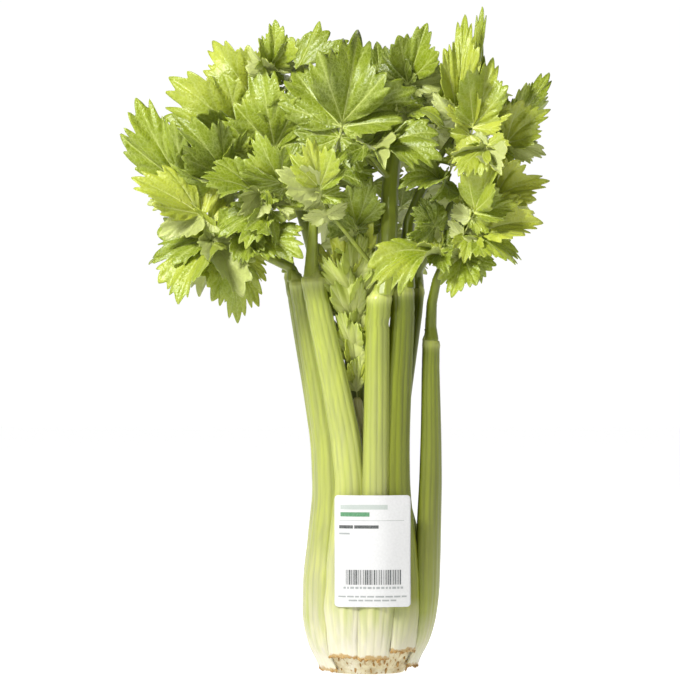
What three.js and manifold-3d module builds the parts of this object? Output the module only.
// A head of celery standing on its trimmed butt, in millimetres, +Z up.
// The origin is the centre of the flat cut face, and the front of the head looks along -Y.
//
// It is built the way the plant grows. A short solid butt carries eleven ribbed stalks in a spiral: nine
// outer ones that clasp the butt like a cup, and two inner ones round the pale heart. A stalk is
// a C-shaped loft that ends in a joint. Above the joint it goes on as a thinner round stem that forks,
// and each fork carries one leaf blade. A paper label is stuck across the front stalks.
import * as THREE from "three";
import { mergeVertices } from "three/addons/utils/BufferGeometryUtils.js";
import Module from "manifold-3d";

const wasm = await Module();
wasm.setup();

// ---- Driving dimensions ------------------------------------------------------------------------
const GAP = 0.35; // clearance kept between pieces that touch
const CUT_RADIUS = 20.5; // flat cut face of the butt
const BELLY = 37; // widest radius of the closed base
const BELLY_HEIGHT = 42;
const FOOT_STEP = 1; // the base starts this much wider than the cut face
const FLARE = [2.6, 0.75]; // exponents of its rise to the belly: a short fast flare, then a slow one
const MID_HEIGHT = 110; // where the stalks have left the base and stand side by side
const BUTT_WALL = 2.4; // how far the stalk feet stand out over the butt
const BUTT_SHOULDER = 16; // the butt is widest here and narrows to a cone inside the head
const BUTT_HEIGHT = 44;
const BUTT_LEVELS = [1.5, 5, 10, BUTT_SHOULDER];
const BUTT_CONE = [[17, 27], [7, BUTT_HEIGHT]]; // radius and height of the cone inside the head
const BUTT_SIDES = 28;
const STALK_RINGS = 10;
const CREST_HEIGHTS = [12, 24, BELLY_HEIGHT, 72]; // where a stalk's crest is set on its way up the base
const STALK_DEPTHS = [5, 7, 8, 8, 7]; // front to back, from foot to joint
const DEPTH_LIMIT = 0.58; // and never more than this share of the width
const RING_BUNCHING = 1.35; // rings stand closer together near the foot
const OUTER_POINTS = 7; // points across a stalk's ribbed outer face
const INNER_POINTS = 5; // points across its channel
const BASE_BOW = 0.34; // how rounded a stalk is, as a share of its half width: flat where it clasps the base,
const STALK_BOW = 0.8; // and round where it stands free
const LIP_ANGLE = Math.PI / 2.25; // how far round the outer face turns at its lips
const LIP = { inset: 1.6, wall: 1.8 }; // the lips' width and thickness
const INNER_LEAN = 0.02; // the two inner stalks lean out by this share of their height
const NECK = { drop: 9, rise: 0.7, draw: 0.5 }; // how a stalk draws in above its joint to meet its stem
const STEM_SIDES = 8;
const FORK = { sides: 5, step: 14, thickest: 1.9, over: 0.3, tip: 1.1, reach: 1.2 }; // reach: gap from fork to blade
const BLADE = 0.9; // thickness of a leaf blade as a solid
const LABEL = { width: 43.5, height: 61.5, thickness: 0.5, x: 3, bottom: 38.5, front: -37.9, bend: 48 };

const v3 = (p) => new THREE.Vector3(...p);
const radians = THREE.MathUtils.degToRad;
const lerp = THREE.MathUtils.lerp;

// Value at t (0 to 1) of a smooth run through evenly spaced numbers.
function along(numbers, t) {
  const at = Math.min(Math.max(t, 0), 1) * (numbers.length - 1);
  const i = Math.min(Math.floor(at), numbers.length - 2);
  return lerp(numbers[i], numbers[i + 1], THREE.MathUtils.smoothstep(at - i, 0, 1));
}

// ---- Solids ------------------------------------------------------------------------------------
// A closed solid through rings of points that all have the same count and turn the same way.
function loft(rings) {
  const n = rings[0].length;
  const points = rings.flat();
  const faces = [];
  for (let r = 0; r + 1 < rings.length; r++) {
    for (let i = 0; i < n; i++) {
      const a = r * n + i;
      const b = r * n + ((i + 1) % n);
      faces.push(a, b, b + n, a, b + n, a + n);
    }
  }
  const last = (rings.length - 1) * n;
  const capStart = THREE.ShapeUtils.triangulateShape(flatten(rings[0]), []);
  const capEnd = THREE.ShapeUtils.triangulateShape(flatten(rings[rings.length - 1]), []);
  for (const [a, b, c] of capStart) faces.push(a, c, b);
  for (const [a, b, c] of capEnd) faces.push(last + a, last + b, last + c);
  const geometry = new THREE.BufferGeometry().setFromPoints(points);
  geometry.setIndex(faces);
  return geometry;
}

// A ring's points in its own plane, for cutting its cap into triangles.
function flatten(ring) {
  const centre = ring.reduce((s, p) => s.add(p), new THREE.Vector3()).divideScalar(ring.length);
  const normal = new THREE.Vector3();
  ring.forEach((p, i) => {
    const q = ring[(i + 1) % ring.length];
    normal.add(p.clone().sub(centre).cross(q.clone().sub(centre)));
  });
  normal.normalize();
  const across = ring[0].clone().sub(centre).normalize();
  const up = normal.clone().cross(across);
  return ring.map((p) => {
    const d = p.clone().sub(centre);
    return new THREE.Vector2(d.dot(across), d.dot(up));
  });
}

function solidOf(geometry) {
  const bare = new THREE.BufferGeometry();
  bare.setAttribute("position", geometry.getAttribute("position"));
  bare.setIndex(geometry.index);
  const merged = mergeVertices(bare, 1e-3);
  const made = new wasm.Manifold(
    new wasm.Mesh({
      numProp: 3,
      vertProperties: new Float32Array(merged.attributes.position.array),
      triVerts: new Uint32Array(merged.index.array),
    }),
  );
  if (made.volume() > 0) return made;
  const turned = new Uint32Array(merged.index.array);
  for (let i = 0; i < turned.length; i += 3) [turned[i + 1], turned[i + 2]] = [turned[i + 2], turned[i + 1]];
  return new wasm.Manifold(
    new wasm.Mesh({
      numProp: 3,
      vertProperties: new Float32Array(merged.attributes.position.array),
      triVerts: turned,
    }),
  );
}

function geometryOf(solid) {
  const mesh = solid.getMesh();
  const positions = new Float32Array(mesh.numVert * 3);
  for (let i = 0; i < mesh.numVert; i++) {
    positions.set(mesh.vertProperties.subarray(i * mesh.numProp, i * mesh.numProp + 3), i * 3);
  }
  const geometry = new THREE.BufferGeometry();
  geometry.setAttribute("position", new THREE.BufferAttribute(positions, 3));
  geometry.setIndex(new THREE.BufferAttribute(mesh.triVerts, 1));
  geometry.computeVertexNormals();
  return geometry;
}

// The largest body of a solid: a trimmed piece can shed crumbs.
function largest(solid) {
  return solid.decompose().reduce((best, s) => (s.volume() > best.volume() ? s : best));
}

// A round stem along a smooth curve, tapering from radius r0 to r1.
function stem(points, r0, r1, sides = FORK.sides) {
  const curve = new THREE.CatmullRomCurve3(points.map(v3));
  const steps = points.length === 2 ? 1 : Math.max(3, Math.min(6, Math.round(curve.getLength() / FORK.step)));
  const frames = curve.computeFrenetFrames(steps, false);
  const rings = [];
  for (let i = 0; i <= steps; i++) {
    const centre = curve.getPointAt(i / steps);
    const radius = lerp(r0, r1, i / steps);
    const ring = [];
    for (let k = 0; k < sides; k++) {
      const a = (2 * Math.PI * k) / sides;
      ring.push(
        centre
          .clone()
          .addScaledVector(frames.normals[i], radius * Math.cos(a))
          .addScaledVector(frames.binormals[i], radius * Math.sin(a)),
      );
    }
    rings.push(ring);
  }
  return solidOf(loft(rings));
}

// ---- The butt ----------------------------------------------------------------------------------
// Outside radius of the closed base at a height.
function baseRadius(z) {
  const rise = Math.min(Math.max(z / BELLY_HEIGHT, 0), 1);
  const start = CUT_RADIUS + FOOT_STEP;
  return start + (BELLY - start) * Math.pow(1 - Math.pow(1 - rise, FLARE[0]), FLARE[1]);
}

// The butt, or with grow > 0 the larger shape that clears a gap of that size round it.
function buttSolid(grow = 0) {
  const sole = grow ? -1 : 0;
  const profile = [new THREE.Vector2(0, sole), new THREE.Vector2(CUT_RADIUS + grow, sole)];
  for (const z of BUTT_LEVELS) profile.push(new THREE.Vector2(baseRadius(z) - BUTT_WALL + grow, z));
  for (const [radius, z] of BUTT_CONE) profile.push(new THREE.Vector2(radius + grow, z));
  profile.push(new THREE.Vector2(0, BUTT_HEIGHT + 1 + grow));
  const lathe = new THREE.LatheGeometry(profile, BUTT_SIDES);
  lathe.rotateX(Math.PI / 2);
  return solidOf(lathe);
}

// ---- Stalks ------------------------------------------------------------------------------------
// foot: azimuth on the butt (degrees, 0 is +X, 270 is the front) and height of its lower rim.
// belly: how far it bulges past the base; inner: its radius at the foot, if it stands inside the others.
// mid, joint: the crest of the ribbed face at MID_HEIGHT and at the joint; face: the way it looks there.
// width: across the face at the foot, the belly, MID_HEIGHT and the joint. depth: channel wall there.
// stem: the points of the round stem above the joint, and its radii.
// leaves: fork (index in stem), via (optional point), base, tip, width, up (the way the upper side
// looks), arch (rise of the blade as a share of its length) and cup (how far its edges lift).
const STALKS = [
  {
    name: "left_outer",
    foot: [207, 1.6],
    mid: [-27.5, -13],
    joint: [-42.5, -16, 217],
    face: [205, 200],
    width: [19, 28.5, 21, 14],
    stem: { points: [[-41, -14, 224], [-56, -16, 232], [-72, -20, 241], [-81, -26, 247]], r: [3.4, 1.8] },
    leaves: [
      { at: 3, base: [-83, -31, 245], tip: [-102, -52, 202], width: 57, up: [-0.5, -0.85, 0.3], arch: 0.14 },
      { at: 3, base: [-76, -25, 241], tip: [-71, -36, 197], width: 40, up: [0.1, -1, 0.2], arch: 0.12 },
      { at: 3, base: [-86, -29, 252], tip: [-130, -36, 274], width: 42, up: [-0.3, -0.8, 0.5], arch: 0.1 },
      { at: 2, base: [-67, -34, 244], tip: [-34, -53, 227], width: 43, up: [0.1, -0.8, 0.5], arch: 0.14 },
    ],
  },
  {
    name: "front_left",
    foot: [243, 10],
    mid: [-12, -29],
    joint: [-33, -34, 218],
    face: [247, 235],
    width: [18, 26.5, 19, 15],
    stem: { points: [[-31, -30, 226], [-30, -30, 245], [-30, -32, 258], [-40, -37, 264]], r: [4.2, 1.9] },
    leaves: [
      { at: 3, base: [-56, -44, 266], tip: [-92, -58, 270], width: 34, up: [-0.1, -0.7, 0.7], arch: 0.12 },
      { at: 3, base: [-46, -42, 269], tip: [-61, -55, 299], width: 35, up: [-0.2, -0.95, 0.2], arch: 0.1 },
      { at: 2, base: [-50, -44, 258], tip: [-82, -57, 241], width: 37, up: [-0.2, -0.8, 0.5], arch: 0.1 },
    ],
  },
  {
    name: "front_centre",
    foot: [276, 9],
    mid: [5, -34],
    joint: [6, -37, 207],
    face: [272, 272],
    width: [18, 24.5, 15, 13],
    stem: { points: [[10.5, -31, 217], [12, -28, 245], [13, -22, 275], [17, -18, 298]], r: [5.2, 4.6] },
    leaves: [
      { at: 0, via: [[-14, -50, 247], [-23, -54, 258]], base: [-25, -58, 264], tip: [-33, -69, 296], width: 44, up: [0, -1, 0.2], arch: 0.12 },
      { at: 2, via: [[-4, -34, 288]], base: [-15, -40, 297], tip: [-5, -51, 354], width: 76, up: [0.1, -0.95, 0.3], arch: 0.12 },
      { at: 2, base: [-2, -47, 291], tip: [41, -64, 283], width: 44, up: [0.1, -0.6, 0.8], arch: 0.12 },
      { at: 3, base: [22, -17, 324], tip: [33, -27, 361], width: 37, up: [0, -0.9, 0.3], arch: 0.1 },
      { at: 3, base: [8, -4, 312], tip: [6, -6, 352], width: 34, up: [0, -0.9, 0.4], arch: 0.08 },
      { at: 3, base: [20, -30, 312], tip: [40, -50, 303], width: 27, up: [0.2, -0.7, 0.8], arch: 0.14 },
    ],
  },
  {
    name: "front_right",
    foot: [310, 13],
    mid: [18.5, -29],
    joint: [23, -28, 212],
    face: [302, 300],
    width: [18, 24.5, 20, 14],
    stem: { points: [[22, -22, 222], [23, -18, 250], [32, -20, 272], [42, -24, 290]], r: [4.8, 2] },
    leaves: [
      { at: 3, base: [49, -30, 302], tip: [54, -36, 364], width: 29, up: [0, -1, 0.1], arch: 0.08 },
      { at: 3, base: [56, -14, 304], tip: [63, -14, 370], width: 17, up: [0.2, -1, 0.1], arch: 0.06 },
      { at: 3, base: [57, -34, 298], tip: [69, -43, 339], width: 37, up: [0.1, -1, 0.2], arch: 0.1 },
      { at: 2, base: [44, -38, 273], tip: [18, -56, 271], width: 34, up: [0, -0.8, 0.6], arch: 0.16 },
    ],
  },
  {
    name: "right_outer",
    foot: [344, 4],
    mid: [40.5, -14],
    joint: [39, -14, 184],
    face: [332, 330],
    width: [19, 28.5, 18, 12],
    belly: 3.5,
    stem: { points: [[35.5, -12.5, 193], [37, -16, 212], [43, -22, 230], [50, -27, 241]], r: [3.8, 1.9] },
    leaves: [
      { at: 2, base: [44, -38, 237], tip: [0, -62, 212], width: 34, up: [-0.1, -0.6, 0.8], arch: 0.14 },
      { at: 3, base: [53, -37, 236], tip: [46, -50, 208], width: 30, up: [0.2, -0.9, 0.3], arch: 0.12 },
      { at: 3, base: [57, -38, 243], tip: [95, -51, 252], width: 54, up: [0.2, -0.85, 0.5], arch: 0.1 },
      { at: 2, base: [38, -36, 247], tip: [23, -51, 258], width: 27, up: [0, -0.9, 0.4], arch: 0.1 },
      { at: 3, base: [57, -46, 252], tip: [72, -59, 283], width: 38, up: [-0.2, -0.9, 0.3], arch: 0.12 },
    ],
  },
  {
    name: "back_right",
    foot: [34, 5],
    mid: [17, 27],
    joint: [30, 33, 214],
    face: [60, 55],
    width: [22.5, 32.5, 20, 15],
    stem: { points: [[28, 29, 224], [40, 20, 245], [52, 6, 268], [64, -4, 284]], r: [4.4, 1.9] },
    leaves: [
      { at: 2, base: [66, -22, 262], tip: [98, -32, 276], width: 40, up: [0.2, -0.85, 0.4], arch: 0.1 },
      { at: 3, base: [74, -16, 292], tip: [99, -27, 314], width: 37, up: [0.1, -0.9, 0.4], arch: 0.1 },
      { at: 3, base: [78, 0, 301], tip: [103, 2, 335], width: 27, up: [0.3, -0.95, 0.1], arch: 0.08 },
      { at: 2, via: [[58, -30, 280]], base: [66, -48, 292], tip: [49, -65, 273], width: 39, up: [-0.2, -0.8, 0.6], arch: 0.14 },
      { at: 1, base: [58, 30, 258], tip: [96, 54, 262], width: 56, up: [0.5, 0.4, 0.8], arch: 0.14 },
    ],
  },
  {
    name: "back",
    foot: [79, 4],
    mid: [-4, 32],
    joint: [-2, 38, 218],
    face: [95, 92],
    width: [21, 31.5, 21, 15],
    stem: { points: [[-2, 34, 228], [0, 38, 245], [2, 46, 264], [2, 54, 280]], r: [4.6, 2.1] },
    leaves: [
      { at: 3, base: [2, 60, 289], tip: [-2, 88, 333], width: 71, up: [0, 0.8, 0.6], arch: 0.12 },
      { at: 2, base: [-16, 56, 265], tip: [-57, 84, 264], width: 66, up: [-0.4, 0.6, 0.7], arch: 0.14 },
      { at: 2, base: [20, 58, 262], tip: [59, 86, 258], width: 66, up: [0.4, 0.6, 0.7], arch: 0.14 },
      { at: 1, base: [2, 56, 244], tip: [4, 91, 205], width: 63, up: [0, 0.8, 0.5], arch: 0.16 },
    ],
  },
  {
    name: "back_left",
    foot: [124, 3],
    mid: [-22, 21],
    joint: [-31, 28, 222],
    face: [137, 130],
    width: [21, 30.5, 20, 15],
    stem: { points: [[-29, 24, 232], [-36, 20, 255], [-44, 12, 280], [-52, 6, 300]], r: [4.6, 2] },
    leaves: [
      { at: 2, base: [-66, -2, 294], tip: [-109, -15, 333], width: 59, up: [-0.3, -0.8, 0.5], arch: 0.1 },
      { at: 3, base: [-62, 2, 318], tip: [-86, -4, 353], width: 49, up: [-0.2, -0.9, 0.3], arch: 0.1 },
      { at: 3, base: [-50, 10, 326], tip: [-6, 2, 352], width: 36, up: [0.1, -0.5, 0.9], arch: 0.1 },
      { at: 2, base: [-50, -14, 286], tip: [-59, -36, 336], width: 54, up: [-0.1, -0.9, 0.4], arch: 0.12 },
      { at: 2, base: [-48, 30, 284], tip: [-70, 65, 321], width: 68, up: [-0.4, 0.6, 0.7], arch: 0.12 },
    ],
  },
  {
    name: "left",
    foot: [166, 2.2],
    mid: [-30, 4],
    joint: [-46, 6, 221],
    face: [176, 176],
    width: [20, 29.5, 20, 14],
    stem: { points: [[-44, 4, 230], [-58, 4, 246], [-74, 0, 256], [-88, -6, 260]], r: [3.8, 1.8] },
    leaves: [
      { at: 3, base: [-97, -12, 264], tip: [-128, -22, 319], width: 48, up: [-0.4, -0.9, 0.2], arch: 0.1 },
      { at: 2, base: [-76, -20, 272], tip: [-100, -44, 307], width: 46, up: [-0.2, -0.8, 0.5], arch: 0.12 },
      { at: 2, base: [-80, 16, 262], tip: [-121, 44, 273], width: 68, up: [-0.5, 0.4, 0.8], arch: 0.14 },
      { at: 1, base: [-66, 20, 244], tip: [-96, 55, 209], width: 63, up: [-0.6, 0.6, 0.5], arch: 0.16 },
    ],
  },
  {
    name: "inner_left",
    foot: [200, 24],
    inner: 13,
    mid: [-9, -7],
    joint: [-12, -12, 214],
    face: [225, 225],
    width: [9.5, 12.5, 14, 10],
    stem: { points: [[-11, -10, 224], [-12, -12, 248], [-22, -12, 275], [-30, -14, 296]], r: [3.2, 1.6] },
    leaves: [
      { at: 3, via: [[-44, -18, 318]], base: [-54, -22, 332], tip: [-50, -31, 362], width: 29, up: [0.3, -0.9, 0.3], arch: 0.1 },
      { at: 1, base: [-7, -27, 244], tip: [2, -37, 276], width: 34, up: [0.2, -0.9, 0.3], arch: 0.1 },
      { at: 3, base: [-27, -14, 302], tip: [-20, -11, 336], width: 28, up: [0, -0.9, 0.5], arch: 0.08 },
    ],
  },
  {
    name: "inner_right",
    foot: [20, 24],
    inner: 13,
    mid: [11, 5],
    joint: [9, 8, 226],
    face: [20, 40],
    width: [9.5, 12.5, 14, 10],
    stem: { points: [[8, 8, 236], [10, 10, 260], [12, 14, 285], [14, 16, 302]], r: [3.4, 1.7] },
    leaves: [
      { at: 3, base: [14, 20, 311], tip: [18, 42, 355], width: 63, up: [0, 0.3, 0.9], arch: 0.1 },
      { at: 2, base: [34, 18, 301], tip: [77, 31, 332], width: 61, up: [0.1, 0.4, 0.9], arch: 0.12 },
      { at: 2, base: [-8, 28, 303], tip: [-36, 47, 339], width: 61, up: [-0.2, 0.4, 0.9], arch: 0.1 },
    ],
  },
];

// The heart: the youngest stalks, still joined in one slim shoot with small furled blades.
const HEART = {
  shoot: [[0, 0, 46], [-1, -3, 90], [-3, -10, 130], [-6, -16, 156]],
  r: [4.5, 2.6],
  blades: [
    { base: [-6, -16, 152], tip: [-16, -25, 219], width: 13, up: [-0.2, -1, 0.1], arch: 0.08, cup: 0.2 },
    { base: [-5, -17, 152], tip: [-8, -31, 236], width: 17, up: [0.1, -1, 0.1], arch: 0.06, cup: 0.2 },
    { base: [-5, -15, 152], tip: [-1, -27, 210], width: 11, up: [0.2, -1, 0.1], arch: 0.1, cup: 0.2 },
  ],
};

// One horizontal section of a stalk: a crescent whose ribbed outer face looks along azimuth `face`.
function stalkRing(crest, face, width, depth, bow, grow) {
  const out = new THREE.Vector3(Math.cos(face), Math.sin(face), 0);
  const side = new THREE.Vector3(-out.y, out.x, 0);
  const half = width / 2;
  const crown = half * bow; // how far the lips curve back behind the crest
  const ring = [];
  for (let i = 0; i < OUTER_POINTS; i++) {
    const a = (i / (OUTER_POINTS - 1)) * 2 - 1;
    const reach = Math.sin(a * LIP_ANGLE) / Math.sin(LIP_ANGLE);
    const back = (crown * (1 - Math.cos(a * LIP_ANGLE))) / (1 - Math.cos(LIP_ANGLE));
    ring.push(
      crest
        .clone()
        .addScaledVector(side, reach * (half + grow))
        .addScaledVector(out, grow - back),
    );
  }
  for (let i = 0; i < INNER_POINTS; i++) {
    const a = 1 - (i / (INNER_POINTS - 1)) * 2;
    const reach = a * (half - LIP.inset + grow);
    const back = lerp(depth, crown + LIP.wall, a * a) + grow;
    ring.push(crest.clone().addScaledVector(side, reach).addScaledVector(out, -back));
  }
  return ring;
}

// A stalk from its foot to its neck, or with grow > 0 the shape that clears a gap round it.
function stalkSolid(s, grow = 0) {
  const [azimuth, rim] = s.foot;
  const foot = radians(azimuth);
  const crests = [rim, ...CREST_HEIGHTS]
    .filter((z, i) => i === 0 || z > rim + 4)
    .map((z) => {
      const radius = s.inner
        ? s.inner + (z - rim) * INNER_LEAN
        : baseRadius(z) + (s.belly || 0) * Math.min(z / BELLY_HEIGHT, 1);
      const turn = Math.max(0, (z - BELLY_HEIGHT) / (MID_HEIGHT - BELLY_HEIGHT));
      return new THREE.Vector3(
        lerp(radius * Math.cos(foot), s.mid[0], turn),
        lerp(radius * Math.sin(foot), s.mid[1], turn),
        z,
      );
    });
  crests.push(new THREE.Vector3(s.mid[0], s.mid[1], MID_HEIGHT));
  crests.push(v3(s.joint));
  const curve = new THREE.CatmullRomCurve3(crests, false, "centripetal");
  const rings = [];
  const [atMid, atJoint] = s.face.map(radians);
  for (let i = 0; i < STALK_RINGS; i++) {
    const t = Math.pow(i / (STALK_RINGS - 1), RING_BUNCHING);
    const crest = curve.getPointAt(t);
    const z = crest.z;
    const low = THREE.MathUtils.smoothstep(z, BELLY_HEIGHT * 0.4, MID_HEIGHT);
    const high = THREE.MathUtils.smoothstep(z, MID_HEIGHT, s.joint[2]);
    const face = lerp(nearestTurn(foot, atMid), atMid, low) + (atJoint - atMid) * high;
    const width =
      z < BELLY_HEIGHT
        ? lerp(s.width[0], s.width[1], THREE.MathUtils.smoothstep(z, rim, BELLY_HEIGHT))
        : z < MID_HEIGHT
          ? lerp(s.width[1], s.width[2], THREE.MathUtils.smoothstep(z, BELLY_HEIGHT, MID_HEIGHT))
          : lerp(s.width[2], s.width[3], (z - MID_HEIGHT) / (s.joint[2] - MID_HEIGHT));
    const depth = Math.min(along(STALK_DEPTHS, t), width * DEPTH_LIMIT);
    const bow = lerp(BASE_BOW, STALK_BOW, THREE.MathUtils.smoothstep(z, BELLY_HEIGHT * 0.6, MID_HEIGHT));
    rings.push(stalkRing(crest, face, width, depth, bow, grow));
  }
  // Above the joint the section draws in to meet the round stem.
  const neck = v3(s.stem.points[0]);
  const drawn = lerp(s.joint[2], neck.z, NECK.rise);
  rings.push(rings[rings.length - 1].map((p) => p.clone().lerp(neck, NECK.draw).setZ(drawn + grow)));
  if (grow) rings[0].forEach((p) => (p.z -= grow));
  return solidOf(loft(rings));
}

// An angle equal to `a` but within half a turn of `b`.
function nearestTurn(a, b) {
  return a + Math.round((b - a) / (2 * Math.PI)) * 2 * Math.PI;
}

// ---- Leaf blades -------------------------------------------------------------------------------
const BLADE_STATIONS = [
  [0, 0.07],
  [0.2, 0.62],
  [0.45, 1],
  [0.72, 0.82],
  [0.92, 0.42],
  [1, 0.1],
];

// A blade is a thin arched plate: six stations from base to tip, three points across each.
function bladeSolid({ base, tip, width, up, arch, cup = 0.12 }) {
  const from = v3(base);
  const chord = v3(tip).sub(from);
  const length = chord.length();
  const ahead = chord.clone().normalize();
  const normal = v3(up).addScaledVector(ahead, -v3(up).dot(ahead)).normalize();
  const side = normal.clone().cross(ahead);
  const rings = BLADE_STATIONS.map(([s, share]) => {
    const rise = 4 * arch * s * (1 - s) * length;
    const half = (share * width) / 2;
    const centre = from.clone().addScaledVector(ahead, s * length).addScaledVector(normal, rise);
    const edge = (k, lift) =>
      centre.clone().addScaledVector(side, k * half).addScaledVector(normal, lift * share * width * cup);
    const row = [edge(-1, 1), edge(0, 0), edge(1, 1)];
    const under = row.map((p) => p.clone().addScaledVector(normal, -BLADE)).reverse();
    return [...row, ...under];
  });
  return solidOf(loft(rings));
}

// ---- Label -------------------------------------------------------------------------------------
// A flat sheet bent round an upright arc.
function labelSolid() {
  const steps = 8;
  const points = [];
  const arc = (radius, i) => {
    const a = ((i / steps) * 2 - 1) * (LABEL.width / 2 / LABEL.bend);
    return new THREE.Vector2(LABEL.x + radius * Math.sin(a), LABEL.front + LABEL.bend - radius * Math.cos(a));
  };
  for (let i = 0; i <= steps; i++) points.push(arc(LABEL.bend, i));
  for (let i = steps; i >= 0; i--) points.push(arc(LABEL.bend - LABEL.thickness, i));
  const sheet = new THREE.ExtrudeGeometry(new THREE.Shape(points), {
    depth: LABEL.height,
    bevelEnabled: false,
    curveSegments: 1,
  });
  sheet.translate(0, 0, LABEL.bottom);
  return sheet;
}

// ---- Assembly ----------------------------------------------------------------------------------
const paint = (color, roughness) => new THREE.MeshStandardMaterial({ color, roughness, metalness: 0 });
const PAINTS = {
  butt: paint(0xd8cfa6, 0.7),
  stalk: paint(0xb7c26a, 0.45),
  heart: paint(0xc9cf7c, 0.5),
  leaf: paint(0x8fa233, 0.5),
  label: paint(0xefefef, 0.6),
};

const head = new THREE.Group();
head.name = "celery_head";

function add(name, geometry, material) {
  const mesh = new THREE.Mesh(geometry, material);
  mesh.name = name;
  head.add(mesh);
}

add("butt", geometryOf(buttSolid()), PAINTS.butt);

// Each stalk is trimmed by the butt and by the stalks outside it, so that they nest with a gap.
let taken = buttSolid(GAP);
for (const s of STALKS) {
  let solid = largest(stalkSolid(s).subtract(taken));
  taken = taken.add(stalkSolid(s, GAP));
  const { points, r } = s.stem;
  const inside = v3(s.joint).lerp(v3(points[0]), 0.5).add(new THREE.Vector3(0, 0, -NECK.drop)).toArray();
  solid = solid.add(stem([inside, ...points], r[0], r[1], STEM_SIDES));
  s.leaves.forEach((leaf, i) => {
    const end = v3(leaf.base);
    const into = v3(leaf.tip).sub(end).normalize();
    const stop = end.addScaledVector(into, -FORK.reach).toArray();
    const thick = Math.min(FORK.thickest, r[1] + FORK.over);
    solid = solid.add(stem([points[leaf.at], ...(leaf.via || []), stop], thick, FORK.tip));
    add(`leaf_${s.name}_${i + 1}`, geometryOf(bladeSolid(leaf)), PAINTS.leaf);
  });
  add(`stalk_${s.name}`, geometryOf(largest(solid)), PAINTS.stalk);
}

let heart = stem(HEART.shoot, ...HEART.r, STEM_SIDES);
for (const blade of HEART.blades) heart = heart.add(bladeSolid(blade));
add("heart", geometryOf(largest(heart.subtract(taken))), PAINTS.heart);

add("label", labelSolid(), PAINTS.label);

export default head;
